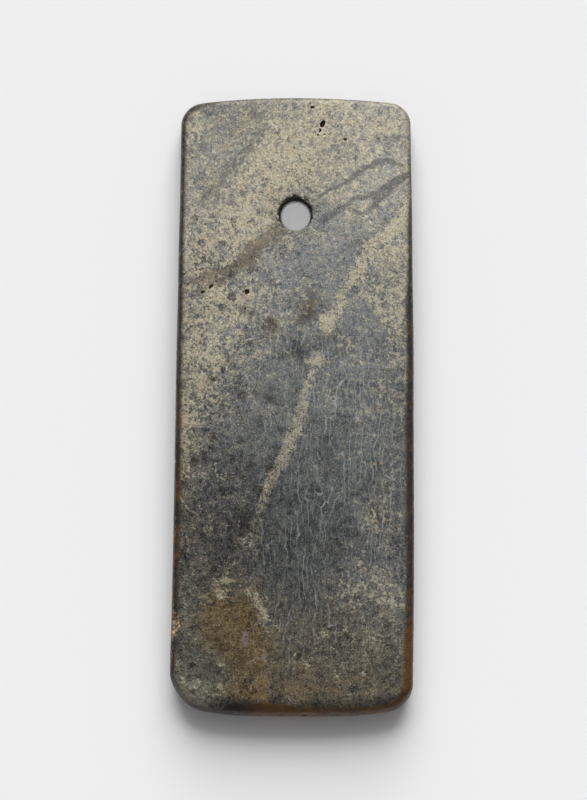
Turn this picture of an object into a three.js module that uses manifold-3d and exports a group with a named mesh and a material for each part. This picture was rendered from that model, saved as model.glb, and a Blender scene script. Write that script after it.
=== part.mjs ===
// Jadeite axe head: a long flat blade of polished stone, drilled through near the butt for its lashing.
// Millimetres, +Z up. The blade lies on its flat back at z = 0, with the butt towards +Y and the cutting
// edge towards -Y. The origin is below the middle of its bounding box.
import * as THREE from "three";
import Module from "manifold-3d";
import { mergeVertices } from "three/addons/utils/BufferGeometryUtils.js";

// Plan of the blade. Half-widths are measured from its long axis to the corners before they are rounded.
const LENGTH = 200;
const BUTT_HALF_WIDTH = { left: 36.1, right: 37.9 };
const EDGE_HALF_WIDTH = { left: 40.0, right: 38.8 };
const SIDE_BOW = { left: -0.2, right: 0.7 };
const END_BOW = { buttLeft: 2.6, buttRight: 2.2, edgeLeft: 5.8, edgeRight: 3.8 };
const END_BOW_POWER = { butt: 2, edge: 4 };
const CORNER_RADIUS = { buttLeft: 6.5, buttRight: 6.5, edgeLeft: 10, edgeRight: 7 };

// Thickness. The front is crowned lengthwise and crosswise, and the back is flat.
const THICKNESS = 12;
const THICKNESS_AT_BUTT = 9.6;
const THICKNESS_AT_EDGE = 10.4;
const THICKEST_AT = -12;
const CROSS_CROWN = 0.9;

// How far each rounded edge reaches in over the faces, and the upright band that it leaves between
// them: its lowest height, and its drop below the front face. The cutting edge is ground from both
// faces to a thin blunt band.
const SIDE = { reach: 2.3, bandLow: 2.9, drop: 2.1, fullness: 1 };
const BUTT = { reach: 1.6, bandLow: 1.7, drop: 1.6, fullness: 1 };
const BLADE = { reach: 7, bandLow: 4.7, drop: 3.8, fullness: 2 };

// The lashing hole, drilled from the front and opened out from the back.
const HOLE_AT = { x: 1.2, y: 62.1 };
const HOLE_FRONT_RADIUS = 5.4;
const HOLE_WAIST_RADIUS = 5.0;
const HOLE_BACK_RADIUS = 5.4;
const HOLE_WAIST_HEIGHT = 3.6;

// Mesh fineness.
const CELLS_ACROSS = 18;
const CELLS_ALONG = 42;
const ROLL_STEPS = 6;
const HOLE_SIDES = 40;
const CUT_OVERRUN = 2;

const STONE = { color: 0x5f6769, roughness: 0.38, metalness: 0 };

const { lerp } = THREE.MathUtils;
const halfLength = LENGTH / 2;

/** Half-width of one side at v, which runs from -1 at the cutting edge to 1 at the butt. */
function halfWidth(side, v) {
  const straight = lerp(EDGE_HALF_WIDTH[side], BUTT_HALF_WIDTH[side], (v + 1) / 2);
  return straight + SIDE_BOW[side] * (1 - v * v);
}

/** The point in plan at u, v, which both run from -1 to 1 over the blade before its corners are rounded. */
function planPoint(u, v) {
  const end = v > 0 ? "butt" : "edge";
  const bow = END_BOW[end + (u < 0 ? "Left" : "Right")] * Math.abs(u) ** END_BOW_POWER[end];
  return new THREE.Vector2(
    u * halfWidth(u < 0 ? "left" : "right", v),
    v * (halfLength - bow * Math.abs(v)),
  );
}

/** One rounded corner, run anticlockwise in plan, as points in u and v. */
function cornerArc(name, signU, signV, steps) {
  const radiusU = CORNER_RADIUS[name] / halfWidth(signU < 0 ? "left" : "right", signV);
  const radiusV = CORNER_RADIUS[name] / halfLength;
  return Array.from({ length: steps + 1 }, (_, i) => {
    const turn = ((i / steps) * Math.PI) / 2;
    const [c, s] = signU * signV > 0 ? [Math.cos(turn), Math.sin(turn)] : [Math.sin(turn), Math.cos(turn)];
    return [signU * (1 - radiusU * (1 - c)), signV * (1 - radiusV * (1 - s))];
  });
}

/** Points strictly between two points in u and v. */
function between(from, to, count) {
  return Array.from({ length: count }, (_, i) => {
    const t = (i + 1) / (count + 1);
    return [lerp(from[0], to[0], t), lerp(from[1], to[1], t)];
  });
}

/** The whole outline, anticlockwise from the middle of the rounded corner at the cutting edge's left. */
function outline() {
  const arcSteps = 8;
  const arcs = [
    cornerArc("edgeLeft", -1, -1, arcSteps),
    cornerArc("edgeRight", 1, -1, arcSteps),
    cornerArc("buttRight", 1, 1, arcSteps),
    cornerArc("buttLeft", -1, 1, arcSteps),
  ];
  const loop = arcs.flatMap((arc, i) => {
    const next = arcs[(i + 1) % arcs.length];
    const cells = i % 2 === 0 ? CELLS_ACROSS : CELLS_ALONG;
    return [...arc, ...between(arc.at(-1), next[0], cells - arcSteps - 1)];
  });
  const turned = [...loop.slice(arcSteps / 2), ...loop.slice(0, arcSteps / 2)];
  const points = turned.map(([u, v]) => planPoint(u, v));
  const box = new THREE.Box2().setFromPoints(points);
  const middle = box.getCenter(new THREE.Vector2());
  points.forEach((point) => point.sub(middle));
  return points.map((point, i) => {
    const ahead = points[(i + 1) % points.length];
    const behind = points[(i + points.length - 1) % points.length];
    const along = ahead.clone().sub(behind).normalize();
    return { point, outward: new THREE.Vector2(along.y, -along.x) };
  });
}

/** Height of the crowned front face above the back. */
function frontHeight({ x, y }) {
  const towardsButt = y > THICKEST_AT;
  const run = (y - THICKEST_AT) / ((towardsButt ? halfLength : -halfLength) - THICKEST_AT);
  const thinnest = towardsButt ? THICKNESS_AT_BUTT : THICKNESS_AT_EDGE;
  const across = x / EDGE_HALF_WIDTH.left;
  return THICKNESS - (THICKNESS - thinnest) * run * run - CROSS_CROWN * across * across;
}

/** The edge's make at one outline point: its side's, its butt's or its blade's, blended round the corners. */
function edgeAt(outward) {
  const end = outward.y > 0 ? BUTT : BLADE;
  const share = THREE.MathUtils.smoothstep(Math.abs(outward.y), 0.05, 0.95);
  return Object.fromEntries(Object.keys(SIDE).map((key) => [key, lerp(SIDE[key], end[key], share)]));
}

/** The edge's cross-section at one outline point, from the flat back round to the front face. */
function edgeSection({ point, outward }) {
  const edge = edgeAt(outward);
  const inner = point.clone().addScaledVector(outward, -edge.reach);
  const front = frontHeight(inner);
  const roll = (i, bandHeight, faceHeight) => {
    const turn = ((i / ROLL_STEPS) * Math.PI) / 2;
    const inset = edge.reach * (1 - Math.sin(turn));
    const rise = Math.cos(turn) ** edge.fullness;
    const at = point.clone().addScaledVector(outward, -inset);
    return [at.x, at.y, bandHeight + (faceHeight - bandHeight) * rise];
  };
  const steps = Array.from({ length: ROLL_STEPS + 1 }, (_, i) => i);
  const backRoll = steps.map((i) => roll(i, edge.bandLow, 0));
  const frontRoll = steps.map((i) => roll(ROLL_STEPS - i, front - edge.drop, front));
  return [...backRoll, ...frontRoll];
}

/** Plan point inside four bounding rows of points, by the sum of both rulings less the corners' own. */
function insideFour(bottom, right, top, left, i, j) {
  const [s, t] = [i / CELLS_ACROSS, j / CELLS_ALONG];
  return [0, 1].map((axis) => {
    const ruled = lerp(bottom[i][axis], top[i][axis], t) + lerp(left[j][axis], right[j][axis], s);
    const low = lerp(bottom[0][axis], bottom[CELLS_ACROSS][axis], s);
    const high = lerp(top[0][axis], top[CELLS_ACROSS][axis], s);
    return ruled - lerp(low, high, t);
  });
}

/** The blade before drilling: rings of edge sections, closed by a grid over each face. */
function bladeGeometry() {
  const sections = outline().map(edgeSection);
  const count = sections.length;
  const rows = sections[0].length;
  const positions = sections.flat(2);
  const faces = [];
  const addQuad = (a, b, c, d) => faces.push(a, b, c, a, c, d);
  for (let i = 0; i < count; i += 1) {
    const next = (i + 1) % count;
    for (let row = 0; row + 1 < rows; row += 1) {
      addQuad(i * rows + row, next * rows + row, next * rows + row + 1, i * rows + row + 1);
    }
  }

  const addFace = (row, heightAt, facesUp) => {
    const rim = (i) => (i % count) * rows + row;
    const corner = CELLS_ACROSS + CELLS_ALONG;
    const at = (i) => sections[i % count][row];
    const bottom = Array.from({ length: CELLS_ACROSS + 1 }, (_, i) => at(i));
    const right = Array.from({ length: CELLS_ALONG + 1 }, (_, j) => at(CELLS_ACROSS + j));
    const top = Array.from({ length: CELLS_ACROSS + 1 }, (_, i) => at(corner + CELLS_ACROSS - i));
    const left = Array.from({ length: CELLS_ALONG + 1 }, (_, j) => at(count - j));
    const index = (i, j) => {
      if (j === 0) return rim(i);
      if (i === CELLS_ACROSS) return rim(CELLS_ACROSS + j);
      if (j === CELLS_ALONG) return rim(corner + CELLS_ACROSS - i);
      if (i === 0) return rim(count - j);
      return first + (j - 1) * (CELLS_ACROSS - 1) + i - 1;
    };
    const first = positions.length / 3;
    for (let j = 1; j < CELLS_ALONG; j += 1) {
      for (let i = 1; i < CELLS_ACROSS; i += 1) {
        const [x, y] = insideFour(bottom, right, top, left, i, j);
        positions.push(x, y, heightAt({ x, y }));
      }
    }
    for (let j = 0; j < CELLS_ALONG; j += 1) {
      for (let i = 0; i < CELLS_ACROSS; i += 1) {
        const quad = [index(i, j), index(i + 1, j), index(i + 1, j + 1), index(i, j + 1)];
        addQuad(...(facesUp ? quad : quad.reverse()));
      }
    }
  };
  addFace(rows - 1, frontHeight, true);
  addFace(0, () => 0, false);

  const geometry = new THREE.BufferGeometry();
  geometry.setAttribute("position", new THREE.Float32BufferAttribute(positions, 3));
  geometry.setIndex(faces);
  return geometry;
}

/** The drill's path: two cones that meet at the waist, run on past both faces at their own slopes. */
function holeGeometry() {
  const mouth = frontHeight(HOLE_AT);
  const frontSlope = (HOLE_FRONT_RADIUS - HOLE_WAIST_RADIUS) / (mouth - HOLE_WAIST_HEIGHT);
  const backSlope = (HOLE_BACK_RADIUS - HOLE_WAIST_RADIUS) / HOLE_WAIST_HEIGHT;
  const profile = [
    [0, -CUT_OVERRUN],
    [HOLE_BACK_RADIUS + backSlope * CUT_OVERRUN, -CUT_OVERRUN],
    [HOLE_WAIST_RADIUS, HOLE_WAIST_HEIGHT],
    [HOLE_FRONT_RADIUS + frontSlope * CUT_OVERRUN, mouth + CUT_OVERRUN],
    [0, mouth + CUT_OVERRUN],
  ];
  const lathe = new THREE.LatheGeometry(
    profile.map(([radius, height]) => new THREE.Vector2(radius, height)),
    HOLE_SIDES,
  );
  return lathe.rotateX(Math.PI / 2).translate(HOLE_AT.x, HOLE_AT.y, 0);
}

const wasm = await Module();
wasm.setup();

/** A closed geometry as a solid that can be cut. */
function solidFrom(geometry) {
  geometry.deleteAttribute("normal");
  geometry.deleteAttribute("uv");
  const merged = mergeVertices(geometry);
  return new wasm.Manifold(
    new wasm.Mesh({
      numProp: 3,
      vertProperties: new Float32Array(merged.attributes.position.array),
      triVerts: new Uint32Array(merged.index.array),
    }),
  );
}

/** A cut solid as a geometry again. */
function geometryFrom(solid) {
  const mesh = solid.getMesh();
  const geometry = new THREE.BufferGeometry();
  geometry.setAttribute("position", new THREE.Float32BufferAttribute(mesh.vertProperties, 3));
  geometry.setIndex(Array.from(mesh.triVerts));
  geometry.computeVertexNormals();
  return geometry;
}

const axeHead = new THREE.Mesh(
  geometryFrom(solidFrom(bladeGeometry()).subtract(solidFrom(holeGeometry()))),
  new THREE.MeshStandardMaterial(STONE),
);
axeHead.name = "axe_head";

const part = new THREE.Group();
part.add(axeHead);

export default part;
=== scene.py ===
"""A polished jadeite axe head lying on its flat back: fine mesh, weathered stone and studio stage."""

import math

import bpy
import numpy as np
from bpy.props import FloatProperty, FloatVectorProperty, IntProperty, PointerProperty
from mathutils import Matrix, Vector, geometry, kdtree, noise


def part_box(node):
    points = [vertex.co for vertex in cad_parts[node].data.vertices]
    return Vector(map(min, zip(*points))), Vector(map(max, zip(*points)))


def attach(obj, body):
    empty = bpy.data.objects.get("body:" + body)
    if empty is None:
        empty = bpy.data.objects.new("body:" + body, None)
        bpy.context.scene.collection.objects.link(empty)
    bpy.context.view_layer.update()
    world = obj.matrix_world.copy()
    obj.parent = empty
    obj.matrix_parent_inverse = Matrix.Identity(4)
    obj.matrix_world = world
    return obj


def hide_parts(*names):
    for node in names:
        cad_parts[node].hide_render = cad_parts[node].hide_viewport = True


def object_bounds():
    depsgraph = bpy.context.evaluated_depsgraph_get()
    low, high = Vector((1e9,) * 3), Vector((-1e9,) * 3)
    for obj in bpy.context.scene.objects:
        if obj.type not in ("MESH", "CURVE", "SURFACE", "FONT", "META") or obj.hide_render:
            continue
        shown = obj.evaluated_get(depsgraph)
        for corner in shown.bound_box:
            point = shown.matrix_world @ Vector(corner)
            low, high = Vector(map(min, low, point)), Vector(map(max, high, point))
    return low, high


bl_info = {
    "name": "Jadeite Axe Head",
    "version": (1, 0, 0),
    "blender": (4, 5, 0),
    "location": "View3D > Sidebar > Axe Head",
    "description": "Builds a polished and weathered stone axe head on a pale stage",
    "category": "Object",
}

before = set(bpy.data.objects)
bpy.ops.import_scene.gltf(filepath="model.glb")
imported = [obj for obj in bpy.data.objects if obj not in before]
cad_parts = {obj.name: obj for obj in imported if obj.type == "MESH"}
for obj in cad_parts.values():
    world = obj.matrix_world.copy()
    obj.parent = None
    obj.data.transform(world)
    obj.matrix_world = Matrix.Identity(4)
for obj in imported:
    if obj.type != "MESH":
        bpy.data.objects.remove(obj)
CAD_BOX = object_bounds()
NODE = "axe_head"
MM = 0.001


# ---------------------------------------------------------------- sizes of the blade, in millimetres

LOW, HIGH = (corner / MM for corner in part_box(NODE))
LENGTH = HIGH.y - LOW.y
THICKNESS = HIGH.z - LOW.z
BUTT_HALF_WIDTH = {"left": 36.1, "right": 37.9}
EDGE_HALF_WIDTH = {"left": 40.0, "right": 38.8}
SIDE_BOW = {"left": -0.2, "right": 0.7}
END_BOW = {"butt": (2.6, 2.2), "edge": (5.8, 3.8)}  # left and right
END_BOW_POWER = {"butt": 2, "edge": 4}
CORNERS = (  # which side, which end, radius; anticlockwise from the cutting edge's left
    ("left", -1, 10.0),
    ("right", -1, 7.0),
    ("right", 1, 6.5),
    ("left", 1, 6.5),
)
RELIEF = 0.08  # height of the finest relief, which only the material shows
THICKNESS_AT_BUTT = 9.6
THICKNESS_AT_EDGE = 10.4
THICKEST_AT = -12.0
CROSS_CROWN = 0.9

# Each rounded edge: reach over the faces, height where its upright band starts, drop from the front
# face to the band's top, and fullness of its curve.
SIDE = np.array((2.3, 2.9, 2.1, 1.0))
BUTT = np.array((1.6, 1.7, 1.6, 1.0))
BLADE = np.array((7.0, 4.7, 3.8, 2.0))

EDGE_STEPS = {"back": 7, "band": 5, "front": 14}  # rows of points round each rounded edge

HOLE = np.array((1.2, 62.1))
HOLE_RADII = {"front": 5.4, "waist": 5.0, "back": 5.4}
HOLE_WAIST_HEIGHT = 3.6

# Weathering that is cut into the mesh: x, y, half-length, half-width, turn in degrees, depth.
PITS = (
    (6.6, 96.8, 0.75, 0.42, 20, 0.5),
    (5.9, 98.2, 0.35, 0.3, 0, 0.3),
    (9.8, 91.3, 0.95, 0.75, 60, 0.9),
    (9.0, 89.3, 0.9, 0.4, 75, 0.55),
    (10.4, 88.0, 0.4, 0.36, 0, 0.45),
    (8.4, 87.8, 0.4, 0.32, 0, 0.4),
    (14.8, 90.6, 0.28, 0.28, 0, 0.3),
    (17.1, 86.4, 0.6, 0.42, 10, 0.45),
    (-19.6, 91.6, 0.32, 0.25, 0, 0.2),
    (-26.0, 39.0, 1.3, 0.42, 40, 0.5),
    (-28.6, 37.2, 1.0, 0.36, 30, 0.4),
    (-14.4, 37.2, 1.0, 0.75, 50, 0.6),
    (-15.1, 31.7, 0.6, 0.4, 70, 0.35),
)
FAR_INSIDE = 30.0  # stands for how far in from the outline the hole's rings lie
CRUMB_DEPTH = 0.9
CHIP = {"at": (-38.4, -70.4, 8.4), "facing": (-0.74, 0.05, 0.67), "half_length": 5.6, "reach": 9.0}


def blend(low, high, share):
    """Plain mix of two numbers or arrays."""
    return low + (high - low) * share


def ease(value, low, high):
    """0 below low, 1 above high, and a smooth turn between."""
    share = np.clip((value - low) / (high - low), 0.0, 1.0)
    return share * share * (3.0 - 2.0 * share)


def half_width(side, v):
    """Half-width of one side at v, from -1 at the cutting edge to 1 at the butt."""
    straight = blend(EDGE_HALF_WIDTH[side], BUTT_HALF_WIDTH[side], (v + 1.0) / 2.0)
    return straight + SIDE_BOW[side] * (1.0 - v * v)


def plan_points(u, v):
    """Points in plan at u and v, which run from -1 to 1 over the blade before its corners are rounded."""
    bows = {end: np.where(u < 0, *END_BOW[end]) * np.abs(u) ** END_BOW_POWER[end] for end in END_BOW}
    bow = np.where(v > 0, bows["butt"], bows["edge"])
    x = u * np.where(u < 0, half_width("left", v), half_width("right", v))
    y = v * (LENGTH / 2 - bow * np.abs(v))
    return np.stack((x, y), axis=1)


def rounded_loop(arc_steps=48, side_steps=200):
    """The closed outline in u and v, anticlockwise, with each corner a quarter arc."""
    loop = []
    turn = np.linspace(0.0, math.pi / 2, arc_steps)
    for side, sign_v, radius in CORNERS:
        sign_u = -1 if side == "left" else 1
        radius_u = radius / half_width(side, sign_v)
        radius_v = radius / (LENGTH / 2)
        c, s = (np.cos(turn), np.sin(turn)) if sign_u * sign_v > 0 else (np.sin(turn), np.cos(turn))
        arc = np.stack((sign_u * (1 - radius_u * (1 - c)), sign_v * (1 - radius_v * (1 - s))), axis=1)
        loop.append(arc)
    filled = []
    for arc, following in zip(loop, loop[1:] + loop[:1]):
        share = np.linspace(0.0, 1.0, side_steps)[1:-1, None]
        filled += [arc, blend(arc[-1], following[0], share)]
    return np.concatenate(filled)


def outline(step):
    """Evenly spaced points round the blade, closer at the chip, and the outward direction at each."""
    u, v = rounded_loop().T
    dense = plan_points(u, v)
    dense -= (dense.min(axis=0) + dense.max(axis=0)) / 2
    ahead = np.roll(dense, -1, axis=0)
    run = np.linalg.norm(ahead - dense, axis=1)
    chip_x, chip_y, _ = CHIP["at"]
    near_chip = np.exp(-(np.hypot(dense[:, 0] - chip_x, dense[:, 1] - chip_y) / 8.0) ** 2)
    walked = np.concatenate(((0.0,), np.cumsum(run * (1.0 + near_chip))))
    count = int(walked[-1] / step)
    stops = np.linspace(0.0, walked[-1], count, endpoint=False)
    closed = np.vstack((dense, dense[:1]))
    points = np.stack([np.interp(stops, walked, closed[:, axis]) for axis in (0, 1)], axis=1)
    along = np.roll(points, -1, axis=0) - np.roll(points, 1, axis=0)
    along /= np.linalg.norm(along, axis=1, keepdims=True)
    return points, np.stack((along[:, 1], -along[:, 0]), axis=1)


def front_height(x, y):
    """Height of the crowned front face above the back."""
    end = np.where(y > THICKEST_AT, LENGTH / 2, -LENGTH / 2)
    thinnest = np.where(y > THICKEST_AT, THICKNESS_AT_BUTT, THICKNESS_AT_EDGE)
    run = (y - THICKEST_AT) / (end - THICKEST_AT)
    across = x / EDGE_HALF_WIDTH["left"]
    return THICKNESS - (THICKNESS - thinnest) * run * run - CROSS_CROWN * across * across


def edge_rows(points, outward, steps):
    """Rows of points round the edge, from the flat back to the front face, and how far in each row lies."""
    share = ease(np.abs(outward[:, 1]), 0.05, 0.95)[:, None]
    made = blend(SIDE, np.where(outward[:, 1:] > 0, BUTT, BLADE), share)
    reach, low, drop, fullness = made.T
    inner = points - outward * reach[:, None]
    front = front_height(*inner.T)
    high = front - drop

    def row(turn, band, face):
        inset = reach * (1.0 - math.sin(turn))
        at = points - outward * inset[:, None]
        height = band + (face - band) * max(math.cos(turn), 0.0) ** fullness
        return np.column_stack((at, height)), inset

    quarter = math.pi / 2
    rows = [row(quarter * i / steps["back"], low, 0.0) for i in range(steps["back"] + 1)]
    for i in range(1, steps["band"]):
        height = blend(low, high, i / steps["band"])
        rows.append((np.column_stack((points, height)), low - height))
    rows += [row(quarter * (1 - i / steps["front"]), high, front) for i in range(steps["front"] + 1)]
    return rows


def hole_ring(radius, height, count):
    """One ring of points round the lashing hole."""
    turn = np.linspace(0.0, 2 * math.pi, count, endpoint=False)
    at = HOLE + radius * np.stack((np.cos(turn), np.sin(turn)), axis=1)
    return np.column_stack((at, np.broadcast_to(height, count)))


def hole_rows(count, arris, steps=5, wall_steps=8):
    """Rings down the lashing hole, from its worn front arris past the waist to its back arris."""
    mouth = hole_ring(HOLE_RADII["front"] + arris, 0.0, count)
    face = front_height(mouth[:, 0], mouth[:, 1])
    rows = []
    for i in range(steps + 1):
        turn = math.pi / 2 * i / steps
        radius = HOLE_RADII["front"] + arris * (1 - math.sin(turn))
        rows.append(hole_ring(radius, face - arris * (1 - math.cos(turn)), count))
    for i in range(1, wall_steps + 1):
        share = i / wall_steps
        radius = blend(HOLE_RADII["front"], HOLE_RADII["waist"], share)
        rows.append(hole_ring(radius, blend(face - arris, HOLE_WAIST_HEIGHT, share), count))
    for i in range(1, steps + 1):
        share = i / steps
        radius = blend(HOLE_RADII["waist"], HOLE_RADII["back"], share)
        rows.append(hole_ring(radius, blend(HOLE_WAIST_HEIGHT, arris, share), count))
    rows.append(hole_ring(HOLE_RADII["back"] + arris, 0.0, count))
    return rows


class Nearest:
    """Finds the nearest point of a closed row of points, and how far inside the row a place is."""

    def __init__(self, points, outward):
        self.points, self.outward = points, outward
        self.tree = kdtree.KDTree(len(points))
        for i, (x, y) in enumerate(points):
            self.tree.insert((x, y, 0.0), i)
        self.tree.balance()

    def index(self, places):
        return np.array([self.tree.find((x, y, 0.0))[1] for x, y in places])

    def inside(self, places):
        """Distance inside the row, below zero outside it."""
        near = self.index(places)
        return ((self.points[near] - places) * self.outward[near]).sum(axis=1)


def lattice(spacing):
    """Points at the corners of even triangles, over the blade's whole box."""
    rise = spacing * math.sqrt(3) / 2
    ys = np.arange(-LENGTH / 2, LENGTH / 2, rise)
    xs = np.arange(LOW.x, HIGH.x, spacing)
    grid = [np.column_stack((xs + spacing / 2 * (i % 2), np.full(len(xs), y))) for i, y in enumerate(ys)]
    return np.concatenate(grid)


def sheet_points(rim, outward, spacing, fine_spots=(), fine_spacing=0.25):
    """Points inside one face's rim and clear of the hole, closer together in the fine spots."""
    edge = Nearest(rim, outward)

    def kept(points, clear):
        from_hole = np.hypot(*(points - HOLE).T) - HOLE_RADII["front"] - 0.5
        return points[(edge.inside(points) > clear * 0.5) & (from_hole > clear * 0.6)]

    coarse = kept(lattice(spacing), spacing)
    if not fine_spots:
        return coarse
    close = kept(lattice(fine_spacing), fine_spacing)
    in_fine = np.zeros(len(close), bool)
    in_coarse = np.ones(len(coarse), bool)
    for x, y, radius in fine_spots:
        in_fine |= np.hypot(close[:, 0] - x, close[:, 1] - y) < radius
        in_coarse &= np.hypot(coarse[:, 0] - x, coarse[:, 1] - y) > radius + spacing * 0.5
    return np.concatenate((close[in_fine], coarse[in_coarse]))


def sheet_triangles(rim, mouth, inner):
    """Triangles over one face. Its points count the rim first, then the hole's mouth, then the inner ones."""
    points = np.concatenate((rim, mouth, inner))
    loops = [(i, (i + 1) % len(rim)) for i in range(len(rim))]
    loops += [(len(rim) + i, len(rim) + (i + 1) % len(mouth)) for i in range(len(mouth))]
    made = geometry.delaunay_2d_cdt([Vector(p) for p in points], loops, [], 1, 1e-7)
    source = [original[0] for original in made[3]]
    triangles = np.array([[source[i] for i in face] for face in made[2]])
    middle = points[triangles].mean(axis=1)
    return triangles[np.hypot(*(middle - HOLE).T) > HOLE_RADII["back"]]


def ring_quads(first, second):
    """Quads between two closed rows of vertex numbers."""
    return np.column_stack((first, np.roll(first, -1), np.roll(second, -1), second))


def worn_spots():
    """Where the front is meshed closely, over the pits, the chip and the hole's mouth: x, y, radius."""
    spots = [(x, y, length + 0.7) for x, y, length, *_ in PITS]
    spots.append((CHIP["at"][0] + 2.0, CHIP["at"][1], 6.5))
    spots.append((HOLE[0], HOLE[1], HOLE_RADII["front"] + 1.6))
    return spots


class BladeMesh:
    """The blade's points and faces before weathering."""

    def __init__(self, settings):
        rim, outward = outline(settings.rim_spacing)
        self.outline = Nearest(rim, outward)
        self.points, self.inset, self.faces = [], [], []
        self.total = 0
        rows = edge_rows(rim, outward, EDGE_STEPS)
        rings = hole_rows(settings.hole_sides, settings.hole_arris)
        edge = self.add_rows([points for points, _ in rows], [inset for _, inset in rows])
        hole = self.add_rows(rings, [np.full(settings.hole_sides, FAR_INSIDE)] * len(rings))

        front_rim, back_rim = rows[-1][0][:, :2], rows[0][0][:, :2]
        inner = sheet_points(front_rim, outward, settings.front_spacing, worn_spots())
        heights = front_height(*inner.T)
        self.add_sheet(front_rim, rings[0][:, :2], inner, heights, (edge[-1], hole[0]), upward=True)
        inner = sheet_points(back_rim, outward, settings.back_spacing)
        heights = np.zeros(len(inner))
        self.add_sheet(back_rim, rings[-1][:, :2], inner, heights, (edge[0], hole[-1]), upward=False)
        self.points = np.concatenate(self.points)
        self.inset = np.concatenate(self.inset)

    def add(self, points, inset):
        """Keeps a block of points, with how far in from the outline each lies, and returns their numbers."""
        self.points.append(points)
        self.inset.append(inset)
        self.total += len(points)
        return np.arange(self.total - len(points), self.total)

    def add_rows(self, rows, insets):
        """Adds closed rows of points, with quads between them, and returns the numbers of each row."""
        numbers = [self.add(points, inset) for points, inset in zip(rows, insets)]
        self.faces += [ring_quads(first, second) for first, second in zip(numbers, numbers[1:])]
        return numbers

    def add_sheet(self, rim, mouth, inner, heights, joined, upward):
        """Adds one face: its inner points, and triangles over them, the rim and the hole's mouth."""
        triangles = sheet_triangles(rim, mouth, inner)
        added = self.add(np.column_stack((inner, heights)), self.outline.inside(inner))
        faces = np.concatenate((*joined, added))[triangles]
        corners = np.concatenate(self.points)[faces]
        across = np.cross(corners[:, 1] - corners[:, 0], corners[:, 2] - corners[:, 0])[:, 2]
        turned = (across < 0) == upward
        faces[turned] = faces[turned][:, ::-1]
        self.faces.append(faces)


# ---------------------------------------------------------------- weathering of the mesh


def rough(points, size, seed=0.0):
    """Smooth noise from -1 to 1 at each point, with lumps of about this size in millimetres."""
    shift = Vector((seed * 17.3, seed * 5.1, seed * 9.7))
    return np.array([noise.noise(Vector(p) / size + shift) for p in points])


def turned_oval(points, x, y, half_length, half_width_, turn):
    """Distance from an oval's middle, in units of its own half-lengths."""
    c, s = math.cos(math.radians(turn)), math.sin(math.radians(turn))
    dx, dy = points[:, 0] - x, points[:, 1] - y
    return np.hypot((dx * c + dy * s) / half_length, (dy * c - dx * s) / half_width_)


def crumbled_side(points):
    """1 on the side of the hole where its mouth has crumbled most, 0 on the other side."""
    bearing = np.arctan2(points[:, 1] - HOLE[1], points[:, 0] - HOLE[0])
    return 0.5 + 0.5 * np.cos(bearing - math.radians(105.0))


def grind_waves(blade, moved, facing, wave_height):
    """Low hand-ground waves over the front and a slight waver of the outline."""
    points = blade.points
    plateau = facing * ease(blade.inset, 0.0, 5.0)
    broad = 0.7 * rough(points, 34.0, 1) + 0.3 * rough(points, 13.0, 2)
    moved[:, 2] += wave_height * broad * plateau
    moved[:, :2] += 0.16 * np.column_stack((rough(points, 26.0, 3), rough(points, 26.0, 4)))


def sink_pits(blade, moved, facing):
    """The ragged pits in the front, and how deep each point lies in them."""
    near = np.flatnonzero((facing > 0.5) & (blade.inset < FAR_INSIDE - 1.0))
    spots = blade.points[near]
    wobble = 0.5 * rough(spots, 0.9, 5) + 0.35 * rough(spots, 0.45, 6)
    sunk = np.zeros(len(near))
    for x, y, half_length, half_width_, turn, depth in PITS:
        away = turned_oval(spots, x, y, half_length, half_width_, turn) + wobble
        sunk = np.maximum(sunk, depth * (1.0 - ease(away, 0.45, 1.2)))
    moved[near, 2] -= sunk
    blade.pit = np.zeros(len(blade.points))
    blade.pit[near] = sunk


def crumble_mouth(blade, moved, facing):
    """The crumbled front mouth of the hole, and how crumbled each point is."""
    points = blade.points
    from_hole = np.hypot(*(points[:, :2] - HOLE).T) - HOLE_RADII["front"]
    lip = (facing > 0.4) * (1.0 - ease(np.abs(from_hole - 0.2), 0.2, 1.3))
    near = np.flatnonzero(lip > 0)
    crumbs = rough(points[near], 1.1, 7) + 0.5 * rough(points[near], 0.5, 8)
    crumble = lip[near] * crumbled_side(points[near]) * np.clip(crumbs + 0.12, 0.0, 1.0)
    moved[near, 2] -= CRUMB_DEPTH * crumble
    blade.crumb = np.zeros(len(points))
    blade.crumb[near] = crumble


def nick_arrises(blade, moved, nick_depth):
    """Small nicks along the upper arrises."""
    points = blade.points
    near = np.flatnonzero((blade.inset < 1.6) & (points[:, 2] > 3.0))
    outward = blade.outline.outward[blade.outline.index(points[near, :2])]
    bite = np.clip(rough(points[near], 1.5, 9) - 0.34, 0.0, 1.0)
    arris = 1.0 - ease(np.abs(blade.inset[near] - 0.5), 0.2, 1.1)
    moved[near, :2] -= outward * (nick_depth * bite * arris)[:, None]


def break_chip(blade, moved):
    """The lumpy break low on the left side, and how much is gone at each point."""
    at, facing_out = np.array(CHIP["at"]), np.array(CHIP["facing"])
    facing_out /= np.linalg.norm(facing_out)
    near = np.flatnonzero(np.hypot(*(blade.points[:, :2] - at[:2]).T) < CHIP["reach"])
    spots = moved[near]
    along = (spots[:, 1] - at[1]) / CHIP["half_length"]
    lumps = 0.55 * rough(spots, 2.4, 10) + 0.35 * rough(spots, 1.0, 11) + 0.15 * rough(spots, 0.5, 12)
    proud = (spots - at) @ facing_out + lumps - 1.5 * np.abs(along) ** 3
    cut = np.clip(proud, 0.0, None)
    moved[near] -= cut[:, None] * facing_out
    blade.broken = np.zeros(len(blade.points))
    blade.broken[near] = cut


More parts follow.
